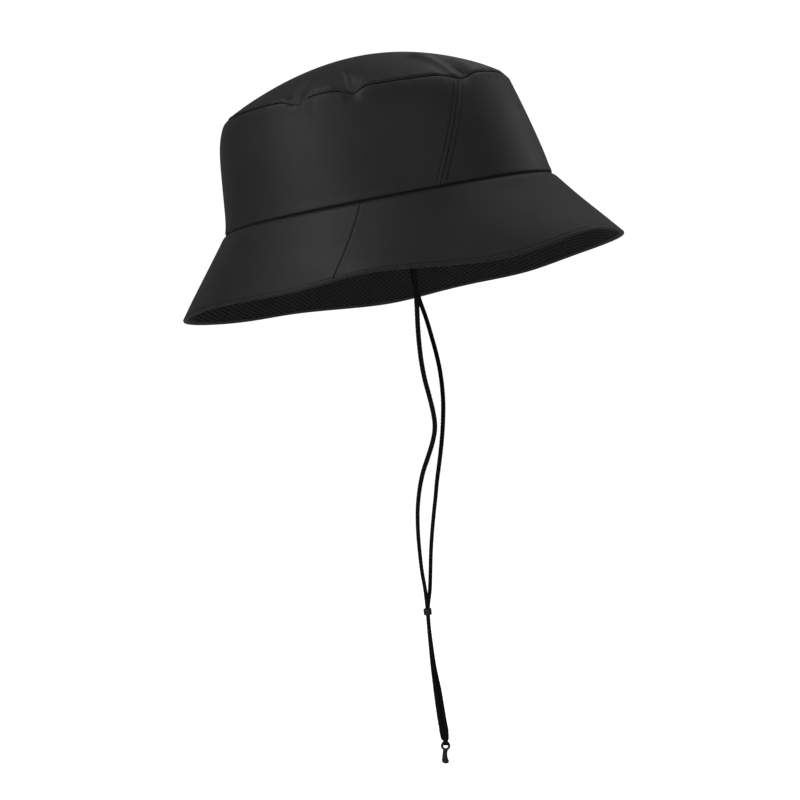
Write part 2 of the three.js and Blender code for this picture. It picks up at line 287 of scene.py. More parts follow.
def seam_valley(distance):
    """An edge that turns in along a seam and is a little full beside it."""
    return 0.05 * MM * bell(distance - 3.0 * MM, 2.0 * MM) - 1.1 * MM * bell(distance, 1.0 * MM)


def gathers(angle):
    """Small puckers that run across the top seam."""
    return np.sin(41 * angle + 0.8) + 0.7 * np.sin(67 * angle + 2.1)


def side_relief(angle, height):
    low = height * SIDE_LENGTH
    top = (1 - height) * SIDE_LENGTH
    past = past_seam(angle, height, CROWN_SEAM)
    relief = 0.45 * MM * bell(low, 2.4 * MM) + seam_valley(top)
    seam = 0.20 * MM * (1 - smooth_step(3.3 * MM, 4.4 * MM, np.abs(past)))
    seam = seam + 0.16 * MM * bell(past + 0.8 * MM, 0.5 * MM) - 0.20 * MM * bell(past, 0.5 * MM)
    seam = seam - STITCH_GROOVE * bell(np.abs(past) - CROWN_STITCH_AT, 0.45 * MM)
    relief = relief + seam * smooth_step(0.2 * MM, 2.5 * MM, top)
    for at, *sizes in SIDE_FOLDS:
        width, length, rise = np.array(sizes) * MM
        across = turn_from(angle, at) * side_radius(angle)
        relief = relief + rise * bell(across, width) * bell(top, length) * smooth_step(0, 2 * MM, top)
    relief = relief + 0.07 * MM * gathers(angle) * bell(top, 6 * MM)
    broad = 0.8 * np.sin(5 * angle + 1.3) + 0.6 * np.sin(8 * angle + 4.0 + 2.0 * height)
    return relief + 0.28 * MM * broad * between(low, 12 * MM, top, 8 * MM)


def fold_relief(points, folds):
    """Ridges and valleys along straight lines in plan, tapering at both ends."""
    total = 0.0
    for start, end, width, rise in folds:
        start = np.array(start)
        line = np.array(end) - start
        length = np.linalg.norm(line)
        line = line / length
        away = points[..., :2] - start
        along = away @ line
        across = away[..., 0] * line[1] - away[..., 1] * line[0]
        beyond = np.maximum(0, np.maximum(-along, along - length))
        width_here = width * MM * (1 + 0.9 * np.clip(along / length, 0, 1.5))
        total = total + rise * bell(across, width_here) * bell(beyond, 4 * MM)
    return total * MM


def tip_relief(angle, height):
    inward = height * DOME_SPAN
    points = crown_tip(angle, height)
    folds = fold_relief(points, TIP_FOLDS) * smooth_step(0, 2.5 * MM, inward)
    relief = seam_valley(inward) + folds
    relief = relief + 0.08 * MM * gathers(angle) * bell(inward, 7 * MM)
    broad = np.sin(48 * points[..., 0] + 1.0) * np.cos(61 * points[..., 1] + 0.4)
    return relief + 0.35 * MM * broad * smooth_step(4 * MM, 25 * MM, inward)


def brim_relief(angle, along):
    height = along / BRIM_SLANT
    below_crown = (1 - height) * BRIM_SLANT
    relief = -2.0 * MM * bell(below_crown, 2.7 * MM)
    relief = relief - 0.6 * STITCH_GROOVE * bell(along - EDGE_STITCH_AT, 0.4 * MM)
    past = past_seam(angle, height, BRIM_SEAM)
    relief = relief - 0.10 * MM * bell(past, 0.5 * MM)
    relief = relief + 0.08 * MM * bell(np.abs(past) - 1.6 * MM, 1.1 * MM)
    broad = np.sin(6 * angle + 0.6 + 3 * height) + 0.6 * np.sin(10 * angle + 2.0)
    return relief + 0.25 * MM * broad * between(along, 15 * MM, below_crown, 12 * MM)


def seam_normal(angle):
    """One direction for both panels at the top seam, so that their edges stay together in its dips."""
    side = normals_of(crown_side, angle, 1 + 0 * angle)
    tip = normals_of(crown_tip, angle, 0.002 + 0 * angle)
    return unit(side + tip)


def crown_skin(surface, angle, height, relief, from_seam):
    normal = normals_of(surface, angle, height)
    normal = unit(mix(normal, seam_normal(angle), bell(from_seam, 3.5 * MM)[..., None]))
    return tipped(surface(angle, height) + normal * relief[..., None])


def side_skin(angle, height):
    from_seam = (1 - height) * SIDE_LENGTH
    return crown_skin(crown_side, angle, height, side_relief(angle, height), from_seam)


def tip_skin(angle, height):
    return crown_skin(crown_tip, angle, height, tip_relief(angle, height), height * DOME_SPAN)


def brim_skin(angle, along):
    return under(brim, angle, along / BRIM_SLANT, -brim_relief(angle, along))


# ---- mesh makers


def add_mesh(name, points, faces, material, uv=None):
    mesh = bpy.data.meshes.new(name)
    mesh.from_pydata(np.asarray(points).tolist(), [], [list(map(int, face)) for face in faces])
    mesh.polygons.foreach_set("use_smooth", np.ones(len(mesh.polygons), bool))
    if uv is not None:
        layer = mesh.uv_layers.new(name="cloth")
        corners = np.empty(len(mesh.loops), np.int32)
        mesh.loops.foreach_get("vertex_index", corners)
        layer.data.foreach_set("uv", np.asarray(uv, np.float32)[corners].ravel())
    mesh.materials.append(material)
    mesh.update()
    piece = bpy.data.objects.new(name, mesh)
    bpy.context.collection.objects.link(piece)
    return piece


def stand_for(piece, body, node_name):
    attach(piece, body)
    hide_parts(node_name)
    return piece


def grid_normals(grid, closed):
    if closed:
        around = np.roll(grid, -1, axis=1) - np.roll(grid, 1, axis=1)
    else:
        around = np.gradient(grid, axis=1)
    return unit(np.cross(around, np.gradient(grid, axis=0)))


def metric_uv(grid):
    """Distances along the rows and columns, so that a weave keeps its size."""
    middle = grid[grid.shape[0] // 2]
    steps = np.linalg.norm(np.diff(middle, axis=0), axis=1)
    across = np.concatenate([[0], np.cumsum(steps)])
    rise = np.linalg.norm(np.diff(grid, axis=0), axis=2)
    upward = np.concatenate([np.zeros((1, grid.shape[1])), np.cumsum(rise, axis=0)])
    return np.stack([np.broadcast_to(across, upward.shape), upward], axis=-1)


def rim_loops(rows, columns, closed):
    """Index pairs round each open rim, with the row and column steps that lead off the cloth."""
    bottom = [(0, j, -1, 0) for j in range(columns)]
    top = [(rows - 1, j, 1, 0) for j in reversed(range(columns))]
    if closed:
        return [bottom, top]
    right = [(i, columns - 1, 0, 1) for i in range(1, rows - 1)]
    left = [(i, 0, 0, -1) for i in reversed(range(1, rows - 1))]
    bottom[0], bottom[-1] = (0, 0, -1, -1), (0, columns - 1, -1, 1)
    top[0], top[-1] = (rows - 1, columns - 1, 1, 1), (rows - 1, 0, 1, -1)
    return [bottom + right + top + left]


def cloth_body(outer, inner, closed=False, capped=False):
    """Points, faces and UVs of a closed cloth body with round rims, from its outer and inner grids."""
    rows, columns = outer.shape[:2]
    count = rows * columns
    points = [outer.reshape(-1, 3), inner.reshape(-1, 3)]
    uv_grid = metric_uv(outer).reshape(-1, 2)
    uvs = [uv_grid, uv_grid]
    index = np.arange(count).reshape(rows, columns)
    right = np.roll(index, -1, axis=1)
    last = columns if closed else columns - 1
    corners = np.stack([index[:-1], right[:-1], right[1:], index[1:]], axis=-1)
    quads = corners[:, :last].reshape(-1, 4)
    faces = quads.tolist() + (quads[:, ::-1] + count).tolist()
    total = 2 * count
    loops = rim_loops(rows, columns, closed)
    if capped:
        loops = loops[:1]
        middles = np.stack([outer[-1].mean(axis=0), inner[-1].mean(axis=0)])
        points.append(middles)
        uvs.append(uv_grid[-2:])
        for j in range(columns):
            k = (j + 1) % columns
            faces.append([index[-1, j], index[-1, k], total])
            faces.append([count + index[-1, k], count + index[-1, j], total + 1])
        total += 2
    for loop in loops:
        ids = np.array([index[i, j] for i, j, _, _ in loop])
        skin = np.array([outer[i, j] for i, j, _, _ in loop])
        back = np.array([inner[i, j] for i, j, _, _ in loop])
        off = unit(np.array([
            2 * outer[i, j] - outer[i - row_step, j] - outer[i, j - column_step]
            for i, j, row_step, column_step in loop
        ]))
        radius = np.linalg.norm(back - skin, axis=1, keepdims=True) / 2
        inward = unit(back - skin)
        rings = [ids]
        for turn in (45, 90, 135):
            sine, cosine = math.sin(math.radians(turn)), math.cos(math.radians(turn))
            points.append(skin + inward * radius * (1 - cosine) + off * radius * sine)
            uvs.append(uv_grid[ids])
            rings.append(np.arange(total, total + len(loop)))
            total += len(loop)
        rings.append(ids + count)
        for a, b in zip(rings, rings[1:]):
            for k in range(len(loop)):
                n = (k + 1) % len(loop)
                faces.append([a[k], b[k], b[n], a[n]])
    return np.concatenate(points), faces, np.concatenate(uvs)


def cloth_piece(name, outer, thickness, material, closed=False, capped=False):
    inner = outer - grid_normals(outer, closed) * np.asarray(thickness)[..., None]
    points, faces, uv = cloth_body(outer, inner, closed, capped)
    return add_mesh(name, points, faces, material, uv)


# How far a panel's edge stays back from its seam, as a share of the cloth's thickness.
SEAM_SHARE = 0.44


def panel_angles(seam, is_front, shares, heights, cloth):
    """A grid of angles for a panel between the two mirrored seams, so that its round rims just meet."""
    edge = np.radians(mix(seam[0], seam[1], heights))[:, None]
    gap = SEAM_SHARE * cloth / BASE_LENGTH
    start = edge + gap if is_front else -(edge - gap)
    end = 2 * math.pi - start if is_front else -start
    return mix(start, end, shares[None, :])


def tube_faces(rings, sides, closes=False):
    """Quads between rings of points. A tube that doesn't close on itself gets two flat ends."""
    faces = []
    for ring in range(rings if closes else rings - 1):
        here, above = ring * sides, ((ring + 1) % rings) * sides
        for k in range(sides):
            n = (k + 1) % sides
            faces.append([here + k, here + n, above + n, above + k])
    if not closes:
        faces.append(list(range(sides))[::-1])
        faces.append([(rings - 1) * sides + k for k in range(sides)])
    return faces


def loft(sections, sides=32, power=2.4):
    """A closed body through flat sections: centre, half width along X, half depth along Y."""
    turns = 2 * math.pi * np.arange(sides) / sides
    cosine, sine = np.cos(turns), np.sin(turns)
    shape_x = np.sign(cosine) * np.abs(cosine) ** (2 / power)
    shape_y = np.sign(sine) * np.abs(sine) ** (2 / power)
    points = []
    for (x, y, z), half_width, half_depth in sections:
        points += [(x + half_width * a, y + half_depth * b, z) for a, b in zip(shape_x, shape_y)]
    return points, tube_faces(len(sections), sides)


def torus(centre, radius, bar):
    """A ring round a centre, with its axis along Y."""
    major, minor = 40, 16
    points = []
    for i in range(major):
        turn = 2 * math.pi * i / major
        for j in range(minor):
            tube = 2 * math.pi * j / minor
            reach = radius + bar * math.cos(tube)
            local = (reach * math.cos(turn), bar * math.sin(tube), reach * math.sin(turn))
            points.append([c + d for c, d in zip(centre, local)])
    return points, tube_faces(major, minor, closes=True)


def together(*bodies):
    points, faces = [], []
    for body_points, body_faces in bodies:
        shift = len(points)
        points += [list(p) for p in body_points]
        faces += [[shift + i for i in face] for face in body_faces]
    return points, faces


# ---- materials


def new_material(name, colour, roughness, specular, sheen=0.0, sheen_roughness=0.4):
    material = bpy.data.materials.new(name)
    material.use_nodes = True
    shader = material.node_tree.nodes["Principled BSDF"]
    shader.inputs["Base Color"].default_value = (*colour, 1)
    shader.inputs["Roughness"].default_value = roughness
    shader.inputs["Specular IOR Level"].default_value = specular
    shader.inputs["Sheen Weight"].default_value = sheen
    shader.inputs["Sheen Roughness"].default_value = sheen_roughness
    return material, material.node_tree, shader


def node(tree, kind, **values):
    made = tree.nodes.new(kind)
    for key, value in values.items():
        setattr(made, key, value)
    return made


def maths(tree, operation, first, second=None):
    made = node(tree, "ShaderNodeMath", operation=operation)
    for socket, value in zip(made.inputs, (first, second)):
        if isinstance(value, bpy.types.NodeSocket):
            tree.links.new(value, socket)
        elif value is not None:
            socket.default_value = value
    return made.outputs[0]


def noise(tree, vector, scale, detail=3.0):
    made = node(tree, "ShaderNodeTexNoise")
    made.inputs["Scale"].default_value = scale
    made.inputs["Detail"].default_value = detail
    tree.links.new(vector, made.inputs["Vector"])
    return made.outputs["Fac"]


def ranged(tree, value, low, high):
    made = node(tree, "ShaderNodeMapRange")
    made.inputs["From Min"].default_value = 0.3
    made.inputs["From Max"].default_value = 0.7
    made.inputs["To Min"].default_value = low
    made.inputs["To Max"].default_value = high
    tree.links.new(value, made.inputs["Value"])
    return made.outputs[0]


def tinted(tree, value, dark, light):
    made = node(tree, "ShaderNodeValToRGB")
    made.color_ramp.elements[0].position = 0.3
    made.color_ramp.elements[0].color = (*dark, 1)
    made.color_ramp.elements[1].position = 0.7
    made.color_ramp.elements[1].color = (*light, 1)
    tree.links.new(value, made.inputs["Fac"])
    return made.outputs["Color"]


def add_bump(tree, shader, height, distance, strength):
    made = node(tree, "ShaderNodeBump")
    made.inputs["Strength"].default_value = strength
    made.inputs["Distance"].default_value = distance
    tree.links.new(height, made.inputs["Height"])
    tree.links.new(made.outputs["Normal"], shader.inputs["Normal"])


def woven(tree, across_pitch, along_pitch):
    """A plain weave's height, from the cloth's own metric coordinates."""
    uv = node(tree, "ShaderNodeUVMap", uv_map="cloth")
    parts = node(tree, "ShaderNodeSeparateXYZ")
    tree.links.new(uv.outputs["UV"], parts.inputs[0])
    warp = maths(tree, "SINE", maths(tree, "MULTIPLY", parts.outputs["X"], math.pi / across_pitch))
    weft = maths(tree, "SINE", maths(tree, "MULTIPLY", parts.outputs["Y"], math.pi / along_pitch))
    return maths(tree, "MULTIPLY", warp, weft)


def object_place(tree):
    return node(tree, "ShaderNodeTexCoord").outputs["Object"]


def fabric(name, dark, light, roughness, specular, sheen, weave, depth, mottle=55):
    material, tree, shader = new_material(name, dark, 0.5, specular, sheen, 0.35)
    place = object_place(tree)
    broad = noise(tree, place, mottle)
    fine = noise(tree, place, 900, 2.0)
    tree.links.new(tinted(tree, broad, dark, light), shader.inputs["Base Color"])
    tree.links.new(ranged(tree, broad, *roughness), shader.inputs["Roughness"])
    threads = woven(tree, *weave)
    height = maths(tree, "ADD", threads, maths(tree, "MULTIPLY", fine, 0.5))
    add_bump(tree, shader, height, depth, 0.6)
    return material


def shell_material():
    return fabric(
        "shell_fabric", (0.0115, 0.0115, 0.0118), (0.014, 0.014, 0.0143), (0.47, 0.54), 0.24, 0.03,
        (0.32 * MM, 0.38 * MM), 0.02 * MM,
    )


def mesh_material():
    return fabric(
        "mesh_fabric", (0.0095, 0.0095, 0.0097), (0.0115, 0.0115, 0.0118), (0.6, 0.7), 0.10, 0.03,
        (0.25 * MM, 0.25 * MM), 0.03 * MM,
    )


def interlining_material():
    return fabric(
        "interlining", (0.007, 0.007, 0.0071), (0.009, 0.009, 0.0092), (0.85, 0.95), 0.15, 0.0,
        (0.9 * MM, 0.9 * MM), 0.03 * MM, 300,
    )


def sweatband_material():
    return fabric(
        "sweatband_fabric", (0.007, 0.007, 0.0072), (0.010, 0.010, 0.0102), (0.7, 0.8), 0.2, 0.25,
        (0.5 * MM, 0.5 * MM), 0.04 * MM,
    )


def tape_material():
    return fabric(
        "tape", (0.006, 0.006, 0.0062), (0.009, 0.009, 0.0092), (0.55, 0.65), 0.25, 0.15,
        (0.6 * MM, 0.35 * MM), 0.05 * MM,
    )


def yarn(name, dark, light, roughness, specular, depth):
    material, tree, shader = new_material(name, dark, 0.5, specular)
    fine = noise(tree, object_place(tree), 2600, 2.0)
    tree.links.new(tinted(tree, fine, dark, light), shader.inputs["Base Color"])
    tree.links.new(ranged(tree, fine, *roughness), shader.inputs["Roughness"])
    add_bump(tree, shader, fine, depth, 0.6)
    return material


def cord_material():
    return yarn(
        "cord", (0.0025, 0.0025, 0.0026), (0.005, 0.005, 0.0052), (0.55, 0.7), 0.10, 0.04 * MM,
    )


def thread_and_pit_shade_material():
    # The thread is black. Its colour is also set well below the cloth's as painted shade, standing in
    # for the shade in the needle pits and the seam groove, so the stitch rows read as dark dotted lines.
    return yarn(
        "thread", (0.0012, 0.0012, 0.0013), (0.0025, 0.0025, 0.0026), (0.75, 0.9), 0.03, 0.03 * MM,
    )


def plastic_material():
    material, tree, shader = new_material("plastic", (0.012, 0.012, 0.0125), 0.3, 0.5)
    place = object_place(tree)
    fine = noise(tree, place, 1500, 4.0)
    tree.links.new(ranged(tree, fine, 0.28, 0.38), shader.inputs["Roughness"])
    tint = tinted(tree, noise(tree, place, 300), (0.011, 0.011, 0.0113), (0.015, 0.015, 0.0155))
    tree.links.new(tint, shader.inputs["Base Color"])
    add_bump(tree, shader, fine, 0.01 * MM, 0.4)
    return material


# ---- chin cord

CORD_WIDE, CORD_THIN = 1.46 * MM, 1.22 * MM
TAIL_WIDE = 1.34 * MM
CORD_SIDES = 20
CORD_STEP = 0.45 * MM
BRAID_PITCH = 2.6 * MM
BRAID_RELIEF = 0.035

# Heights over which a strand turns edge on and back again, and grows slim and wide again.
TURN_IN, TURN_OUT = (-0.110, -0.235), (-0.286, -0.306)
SLIM_IN, SLIM_OUT = (-0.200, -0.240), (-0.296, -0.308)

# The routes of the two strands, in millimetres, from each tab down to the cord's end.
LEFT_STRAND = (
    (16.0, -83.6, -14.2), (15.7, -83.1, -20), (15.3, -81.8, -28), (15.1, -79.3, -37),
    (15.4, -75.6, -47), (16.4, -71.9, -58), (17.2, -67.9, -69.5), (17.7, -63.8, -80),
    (18.6, -59.6, -90.5), (19.9, -54.8, -100.5), (22.0, -49.8, -111), (24.9, -44.8, -121.5),
    (27.4, -39.8, -131.8), (28.2, -36.2, -139.8), (27.0, -32.2, -148), (24.2, -27.8, -157.6),
    (21.2, -23.6, -167.2), (19.2, -19.2, -178), (18.2, -14.6, -190), (18.4, -10.4, -203),
    (19.4, -6.8, -215.5), (20.9, -3.9, -228.5), (22.9, -2.1, -240), (24.2, -1.35, -251),
    (25.1, -1.35, -262), (26.25, -1.35, -275), (27.5, -1.18, -288), (29.2, -0.83, -301),
    (31.0, -0.4, -314), (32.2, 0, -322), (33.4, 0, -327.9),
)
RIGHT_STRAND = (
    (16.0, 83.6, -14.2), (15.5, 83.1, -20), (15.0, 81.6, -28), (15.4, 78.4, -36),
    (17.0, 75.4, -46), (20.4, 72.3, -57), (24.7, 68.1, -69.5), (28.0, 63.6, -81),
    (30.8, 59.0, -91.5), (33.1, 54.0, -102.3), (34.5, 49.1, -112.8), (35.2, 44.1, -123.1),
    (35.1, 39.1, -133.4), (34.5, 34.2, -143.6), (33.5, 29.6, -153.7), (32.2, 25.1, -163.7),
    (30.8, 21.0, -173.6), (29.8, 17.1, -183.5), (28.5, 13.0, -195), (27.3, 8.9, -207.5),
    (26.6, 5.9, -219), (26.3, 3.8, -230), (25.9, 2.1, -241), (24.8, 1.35, -251),
    (25.2, 1.35, -262), (26.8, 1.35, -275), (28.75, 1.18, -288), (31.4, 0.83, -301),
    (33.6, 0.4, -314), (34.95, 0, -322), (36.15, 0, -327.9),
)


def smooth_line(route, step):
    """A Catmull-Rom curve through the route, at even steps along it."""
    route = np.array(route) * MM
    ends = np.concatenate([[2 * route[0] - route[1]], route, [2 * route[-1] - route[-2]]])
    samples = []
    for before, start, end, after in zip(ends, ends[1:], ends[2:], ends[3:]):
        for t in np.arange(16) / 16:
            linear = (end - before) * t
            square = (2 * before - 5 * start + 4 * end - after) * t * t
            cube = (3 * start - before - 3 * end + after) * t ** 3
            samples.append(0.5 * (2 * start + linear + square + cube))
    samples = np.array(samples + [route[-1]])
    run = np.concatenate([[0], np.cumsum(np.linalg.norm(np.diff(samples, axis=0), axis=1))])
    stations = np.linspace(0, run[-1], int(round(run[-1] / step)) + 1)
    return np.stack([np.interp(stations, run, samples[:, k]) for k in range(3)], axis=1), stations


def cord_turn(height):
    """The cord lies flat to the side at both ends, and edge on through its stopper."""
    return math.pi / 2 * (smooth_step(*TURN_IN, height) + smooth_step(*TURN_OUT, height))


def strand_mesh(route, phase):
    line, stations = smooth_line(route, CORD_STEP)
    forward = unit(np.gradient(line, axis=0))
    side = unit(np.array([1.0, 0, 0]) - forward * forward[:, :1])
    back = np.cross(forward, side)
    turns = 2 * math.pi * np.arange(CORD_SIDES) / CORD_SIDES
    run = 2 * math.pi * stations / BRAID_PITCH
    right_hand = np.cos(4 * turns[None, :] + run[:, None] + phase)
    left_hand = np.cos(4 * turns[None, :] - run[:, None] + phase)
    swell = 1 + BRAID_RELIEF * (np.maximum(right_hand, left_hand) - 0.5)
    slim = smooth_step(*SLIM_IN, line[:, 2]) - smooth_step(*SLIM_OUT, line[:, 2])
    half_wide = mix(CORD_WIDE, TAIL_WIDE, slim)
    wide = half_wide[:, None] * np.cos(turns)[None, :] * swell
    thin = CORD_THIN * np.sin(turns)[None, :] * swell
    lean = cord_turn(line[:, 2])[:, None]
    across = (wide * np.cos(lean) - thin * np.sin(lean))[..., None]
    depth = (wide * np.sin(lean) + thin * np.cos(lean))[..., None]
    grid = line[:, None, :] + side[:, None, :] * across + back[:, None, :] * depth
    faces = [[face[0], *face[:0:-1]] for face in tube_faces(len(line), CORD_SIDES)]
    return grid.reshape(-1, 3), faces, line


def add_strand(name, route, phase, material):
    points, faces, line = strand_mesh(route, phase)
    piece = add_mesh(name, points, faces, material)
    stand_for(piece, "hat", name.replace("braided_", "chin_"))


BEAD_AT = (0.0245, 0, -0.254)
BEAD_BORE = (1.92 * MM, 3.02 * MM)
BEAD_WALL = 0.53 * MM
BEAD_HEIGHT = 3.7 * MM
TAIL_LEAN = math.atan(0.105)


def add_bead(material):
    """The stopper: a short tube with a slot for both strands, and soft edges."""
    sides = 56
    turns = 2 * math.pi * np.arange(sides) / sides
    flank = BEAD_BORE[1] - BEAD_BORE[0]
    half, wall = BEAD_HEIGHT / 2, BEAD_WALL
    edge = 0.22 * MM
    lower = (
        (0.0, -half + edge), (edge * 0.3, -half + edge * 0.3), (edge, -half), (wall - edge, -half),
        (wall - edge * 0.3, -half + edge * 0.3), (wall, -half + edge), (wall + 0.06 * MM, -half * 0.4),
    )
    profile = lower + tuple((out, -height) for out, height in reversed(lower))
    points = []
    for out, height in profile:
        radius = BEAD_BORE[0] + out
        for turn in turns:
            y = radius * math.sin(turn) + math.copysign(flank, math.sin(turn))
            x = radius * math.cos(turn)
            leaned_x = x * math.cos(TAIL_LEAN) - height * math.sin(TAIL_LEAN)
            leaned_z = x * math.sin(TAIL_LEAN) + height * math.cos(TAIL_LEAN)
            points.append((BEAD_AT[0] + leaned_x, y, BEAD_AT[2] + leaned_z))
    piece = add_mesh("cord_stopper", points, tube_faces(len(profile), sides, closes=True), material)
    return stand_for(piece, "bead", "cord_bead")


RING_AT = (0.0356, 0, -0.337)
RING_RADIUS, RING_BAR = 2.2 * MM, 0.80 * MM
FOLD_BORE, FOLD_HALF_WIDTH = 0.88 * MM, 1.60 * MM
FOLD_DEPTH, FOLD_HEIGHT = 1.6 * MM, 2.0 * MM
WHIPPING_PITCH = 0.42 * MM


def strap_fold():
    """The strap's fold through the ring, with a bore that follows the top of the ring's bar."""
    stations = np.linspace(-FOLD_HALF_WIDTH, FOLD_HALF_WIDTH, 21)
    turns = 2 * math.pi * np.arange(36) / 36
    points = []
    for across in stations:
        bar_height = math.sqrt(RING_RADIUS ** 2 - across ** 2)
        stretch = RING_RADIUS / bar_height
        for turn in turns:
            y = FOLD_BORE * math.sin(turn)
            z = bar_height + FOLD_BORE * stretch * math.cos(turn)
            points.append((RING_AT[0] + across, y, RING_AT[2] + z))
    for across in stations[::-1]:
        rounded = 1 - 0.25 * bell(FOLD_HALF_WIDTH - abs(across), 0.2 * MM)
        for turn in turns:
            y = FOLD_DEPTH * rounded * math.sin(turn)
            z = RING_RADIUS + FOLD_HEIGHT * rounded * math.cos(turn)
            points.append((RING_AT[0] + across, y, RING_AT[2] + z))
    return points, tube_faces(2 * len(stations), len(turns), closes=True)


def add_cord_end(material):
    """The sewn end that holds both strands, folded through the pull's ring."""
    low = RING_AT[2] + RING_RADIUS + FOLD_BORE + 0.3 * MM
    high = -0.3262
    profile_heights = (low, low + 1.2 * MM, -0.3312, -0.329, high)
    profile_widths = (2.10 * MM, 2.40 * MM, 2.62 * MM, 2.80 * MM, 2.86 * MM)
    sections = []
    for height in np.linspace(low, high, 72):
        share = (height - low) / (high - low)
        ridge = 0.05 * MM * abs(math.sin(math.pi * (height - low) / WHIPPING_PITCH))
        round_off = 1 - 0.20 * bell(share, 0.03) - 0.12 * bell(1 - share, 0.03)
        half_width = (np.interp(height, profile_heights, profile_widths) + ridge) * round_off
        half_depth = (mix(1.60 * MM, 1.40 * MM, share) + ridge) * round_off
        centre = (mix(RING_AT[0] - 0.25 * MM, 0.03430, share), 0, height)
        sections.append((centre, half_width, half_depth))
    points, faces = together(strap_fold(), loft(sections))
    return stand_for(add_mesh("whipped_end", points, faces, material), "hat", "cord_end")


def add_pull(material):
    """The pull: a ring and a short flared tail with a slight bend."""
    start = RING_AT[2] - RING_RADIUS + 0.2 * MM
    profile = (
        (0.0, 1.1, 0.75), (0.6, 1.60, 1.05), (1.4, 1.50, 1.0), (2.6, 1.48, 0.95), (4.0, 1.58, 0.95),
        (5.2, 1.75, 1.05), (6.2, 2.0, 1.15), (7.2, 2.2, 1.2), (8.0, 2.1, 1.15), (8.6, 1.65, 1.0),
        (8.9, 1.0, 0.6), (9.0, 0.3, 0.2),
    )
    depths = [row[0] for row in profile]
    sections = []
    for depth in np.linspace(9.0, 0, 36):
        half_width = np.interp(depth, depths, [row[1] for row in profile]) * MM
        half_depth = np.interp(depth, depths, [row[2] for row in profile]) * MM
        bend = -0.45 * MM * math.sin(math.pi * depth / 8.0)
        sections.append(((RING_AT[0] + bend, 0, start - depth * MM), half_width, half_depth))
    points, faces = together(torus(RING_AT, RING_RADIUS, RING_BAR), loft(sections, 28, 2.0))
    return stand_for(add_mesh("pull_tail", points, faces, material), "pull", "cord_pull")


def add_chin_cord():
    cord = cord_material()
    plastic = plastic_material()
    pieces = [add_bead(plastic), add_cord_end(cord), add_pull(plastic)]
    add_strand("braided_cord_left", LEFT_STRAND, 0.0, cord)
    add_strand("braided_cord_right", RIGHT_STRAND, 0.8, cord)


# ---- hat pieces


def finish_sheet(piece, node_name):
    stand_for(piece, "hat", node_name)


def add_crown_side(name, is_front, flat, material):
    heights = spacing(SIDE_LENGTH, 0.35 * MM, 1.7 * MM, 8 * MM, 8 * MM) / SIDE_LENGTH
    heights = np.concatenate([[-0.012, -0.006], heights[:-1], [0.998]])
    shares = spacing(flat[0], 0.22 * MM, 1.2 * MM, 9 * MM, 9 * MM) / flat[0]
    angles = panel_angles(CROWN_SEAM, is_front, shares, heights, SHELL)
    outer = side_skin(angles, heights[:, None] + 0 * angles)
    piece = cloth_piece(name, outer, SHELL, material)
    finish_sheet(piece, name.replace("sewn_", ""))


def round_grid(columns, heights):
    """Angles all the way round and the given heights, as two grids."""
    return np.meshgrid(np.linspace(0, 2 * math.pi, columns, endpoint=False), heights)


def add_crown_tip(material):
    inward = spacing(DOME_SPAN * 0.985, 0.35 * MM, 1.7 * MM, 9 * MM, 0)
    angles, heights = round_grid(440, (inward + 0.15 * MM) / DOME_SPAN)
    piece = cloth_piece("sewn_crown_tip", tip_skin(angles, heights), SHELL, material, True, True)
    finish_sheet(piece, "crown_tip")


def hem_rows():
    """Stations of the turned hem: how far from the edge and how deep, from its hidden end."""
    rows = [(HEM_RADIUS + HEM_RETURN, 2 * HEM_RADIUS), (HEM_RADIUS + HEM_RETURN / 2, 2 * HEM_RADIUS)]
    for turn in range(180, 0, -20):
        sine, cosine = math.sin(math.radians(turn)), math.cos(math.radians(turn))
        rows.append((HEM_RADIUS * (1 - sine), HEM_RADIUS * (1 - cosine)))
    return rows


def add_brim_top(name, is_front, flat, material):
    hem = hem_rows()
    plain = HEM_RADIUS + spacing(BRIM_SLANT - HEM_RADIUS, 0.30 * MM, 1.8 * MM, 6 * MM, 7 * MM)
    along = np.concatenate([[row[0] for row in hem], plain])
    depth = np.concatenate([[row[1] for row in hem], 0 * plain])
    shares = spacing(flat[1], 0.25 * MM, 1.6 * MM, 7 * MM, 7 * MM) / flat[1]
    angles = panel_angles(BRIM_SEAM, is_front, shares, along / BRIM_SLANT, HEM_CLOTH)
    along = along[:, None] + 0 * angles
    depth = depth[:, None] - brim_relief(angles, along) * (depth[:, None] == 0)
    outer = under(brim, angles, along / BRIM_SLANT, depth)
    piece = cloth_piece(name, outer, HEM_CLOTH, material)
    finish_sheet(piece, name.replace("sewn_", ""))


def add_ring(name, node_name, surface, depths, reach, material):
    angles, heights = round_grid(300, np.linspace(*reach, 28))
    outer = under(surface, angles, heights, depths[0])
    piece = cloth_piece(name, outer, depths[1] - depths[0], material, True)
    finish_sheet(piece, node_name)


def add_lining(mesh_cloth):
    add_ring(
        "mesh_lining_side", "lining_side", crown_side, (1.15 * MM, 1.5 * MM),
        (0.012, 0.975), mesh_cloth,
    )
    angles, heights = round_grid(240, np.linspace(0.02, 0.985, 34))
    outer = under(crown_tip, angles, heights, 1.15 * MM)
    piece = cloth_piece("mesh_lining_tip", outer, 0.35 * MM, mesh_cloth, True, True)
    finish_sheet(piece, "lining_tip")


BAND_LOW, BAND_HIGH = 0.012, 0.442
BAND_STITCH_AT = 2.2 * MM


